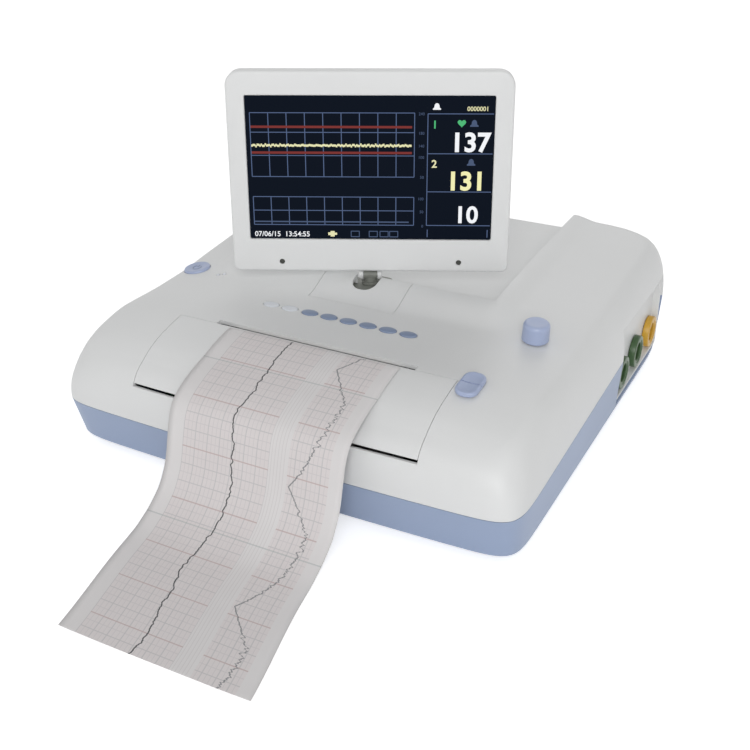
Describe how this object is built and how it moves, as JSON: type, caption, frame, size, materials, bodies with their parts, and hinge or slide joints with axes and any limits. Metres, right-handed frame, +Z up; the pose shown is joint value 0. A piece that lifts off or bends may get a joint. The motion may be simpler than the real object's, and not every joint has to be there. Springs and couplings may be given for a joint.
{
  "type": "cardiotocograph",
  "caption": "Desktop fetal monitor with a folding, swivelling screen, a chart printer under a hinged door and three transducer sockets.",
  "frame": {"origin": "on the table, in the middle of the case's footprint", "axes": "+X to the monitor's right, +Y to its back, +Z up"},
  "size_m": [0.296, 0.4358, 0.2134],
  "materials": {
    "white_case": "fine moulded texture, satin white",
    "blue_case": "fine moulded texture, grey blue",
    "key_blue": "satin blue",
    "control_blue": "smooth light blue",
    "dark_plastic": "dark grey",
    "black_rubber": "matte black",
    "steel": "plain",
    "aluminium": "extruded",
    "brass": "machined",
    "screen_glass": "dark display",
    "paper": "thermal paper with a printed grid",
    "ceramic": "glazed print head",
    "board_green": "solder mask",
    "socket_green": "dark green",
    "socket_yellow": "ochre yellow",
    "lamp_white": "milky light guide",
    "battery_wrap": "heat-shrink wrap"
  },
  "bodies": {
    "case": {"lower_case": "blue_case", "upper_case": "white_case", "battery_cover": "blue_case", "battery_pack": "battery_wrap", "case_screw_1": "steel", "case_screw_2": "steel", "case_screw_3": "steel", "case_screw_4": "steel", "foot_front_left": "black_rubber", "foot_front_right": "black_rubber", "foot_rear_right": "black_rubber", "foot_rear_left": "black_rubber", "hinge_base": "dark_plastic", "hinge_cover": "white_case", "door_hinge_rod": "steel", "stepper_motor": "steel", "print_bridge": "steel", "thermal_head": "ceramic", "head_sink": "aluminium", "paper_tray": "white_case", "paper_pack": "paper", "paper_strip": "paper", "indicator_windows": "lamp_white", "key_board": "board_green", "power_switch_board": "board_green", "status_lamps": "lamp_white", "knob_encoder": "steel", "socket_bay": "white_case", "fhr_socket_front": "socket_green", "fhr_socket_rear": "socket_green", "toco_socket": "socket_yellow", "socket_board": "board_green", "dc_inlet": "dark_plastic", "serial_port": "steel", "main_board": "board_green", "power_board": "board_green", "speaker": "dark_plastic"},
    "screen_swivel": {"hinge_post": "dark_plastic", "tilt_pin": "steel", "hinge_nut": "steel"},
    "screen": {"screen_bezel": "white_case", "screen_rear_cover": "white_case", "lcd_module": "screen_glass", "screen_board": "board_green"},
    "printer_door": {"printer_door": "white_case"},
    "platen": {"platen_roller": "black_rubber", "roller_shaft": "steel", "roller_gear": "lamp_white"},
    "pinion": {"motor_pinion": "brass"},
    "latch": {"latch_button": "control_blue", "latch_hook": "steel"},
    "knob_press": {"knob_spindle": "steel"},
    "knob": {"knob": "control_blue"},
    "power": {"power_button": "control_blue"},
    "key_1": {"key_1": "key_blue"},
    "key_2": {"key_2": "key_blue"},
    "key_3": {"key_3": "key_blue"},
    "key_4": {"key_4": "key_blue"},
    "key_5": {"key_5": "key_blue"},
    "key_6": {"key_6": "key_blue"}
  },
  "joints": [
    {"name": "screen_swivel", "type": "hinge", "parent": "case", "child": "screen_swivel", "pos_m": [-0.0092, -0.0057, 0.0856], "axis": [0, 0, 1], "range_deg": [-70.3, 19.7]},
    {"name": "screen_tilt", "type": "hinge", "parent": "screen_swivel", "child": "screen", "pos_m": [-0.0092, -0.0057, 0.0856], "axis": [0.9041, 0.4274, 0], "range_deg": [-40.6, 14.4]},
    {"name": "door_hinge", "type": "hinge", "parent": "case", "child": "printer_door", "pos_m": [0, -0.1425, 0.0575], "axis": [1, 0, 0], "range_deg": [0, 70], "deforming": ["paper_strip"]},
    {"name": "platen_turn", "type": "hinge", "parent": "printer_door", "child": "platen", "pos_m": [0, -0.104, 0.0665], "axis": [1, 0, 0], "continuous": true},
    {"name": "pinion_turn", "type": "hinge", "parent": "case", "child": "pinion", "pos_m": [0, -0.10195, 0.05774], "axis": [1, 0, 0], "continuous": true},
    {"name": "latch_slide", "type": "slide", "parent": "case", "child": "latch", "axis": [0.0035, 0.9946, 0.1034], "range_m": [0, 0.004]},
    {"name": "knob_push", "type": "slide", "parent": "case", "child": "knob_press", "axis": [-0.0664, 0.0785, -0.9947], "range_m": [0, 0.0005], "stiffness_N_per_m": 600},
    {"name": "knob_turn", "type": "hinge", "parent": "knob_press", "child": "knob", "pos_m": [0.111, -0.031, 0.07727], "axis": [0.0664, -0.0785, 0.9947], "continuous": true},
    {"name": "power_push", "type": "slide", "parent": "case", "child": "power", "axis": [0.1282, 0.0781, -0.9887], "range_m": [0, 0.001], "stiffness_N_per_m": 300},
    {"name": "key_1_push", "type": "slide", "parent": "case", "child": "key_1", "axis": [0, 0.0092, -1], "range_m": [0, 0.0006], "stiffness_N_per_m": 300},
    {"name": "key_2_push", "type": "slide", "parent": "case", "child": "key_2", "axis": [0, 0.0092, -1], "range_m": [0, 0.0006], "stiffness_N_per_m": 300},
    {"name": "key_3_push", "type": "slide", "parent": "case", "child": "key_3", "axis": [0, 0.0092, -1], "range_m": [0, 0.0006], "stiffness_N_per_m": 300},
    {"name": "key_4_push", "type": "slide", "parent": "case", "child": "key_4", "axis": [0, 0.0092, -1], "range_m": [0, 0.0006], "stiffness_N_per_m": 300},
    {"name": "key_5_push", "type": "slide", "parent": "case", "child": "key_5", "axis": [0, 0.0092, -1], "range_m": [0, 0.0006], "stiffness_N_per_m": 300},
    {"name": "key_6_push", "type": "slide", "parent": "case", "child": "key_6", "axis": [0, 0.0092, -1], "range_m": [0, 0.0006], "stiffness_N_per_m": 300}
  ],
  "couplings": [
    {"joint": "pinion_turn", "follows": "platen_turn", "ratio": -2}
  ]
}
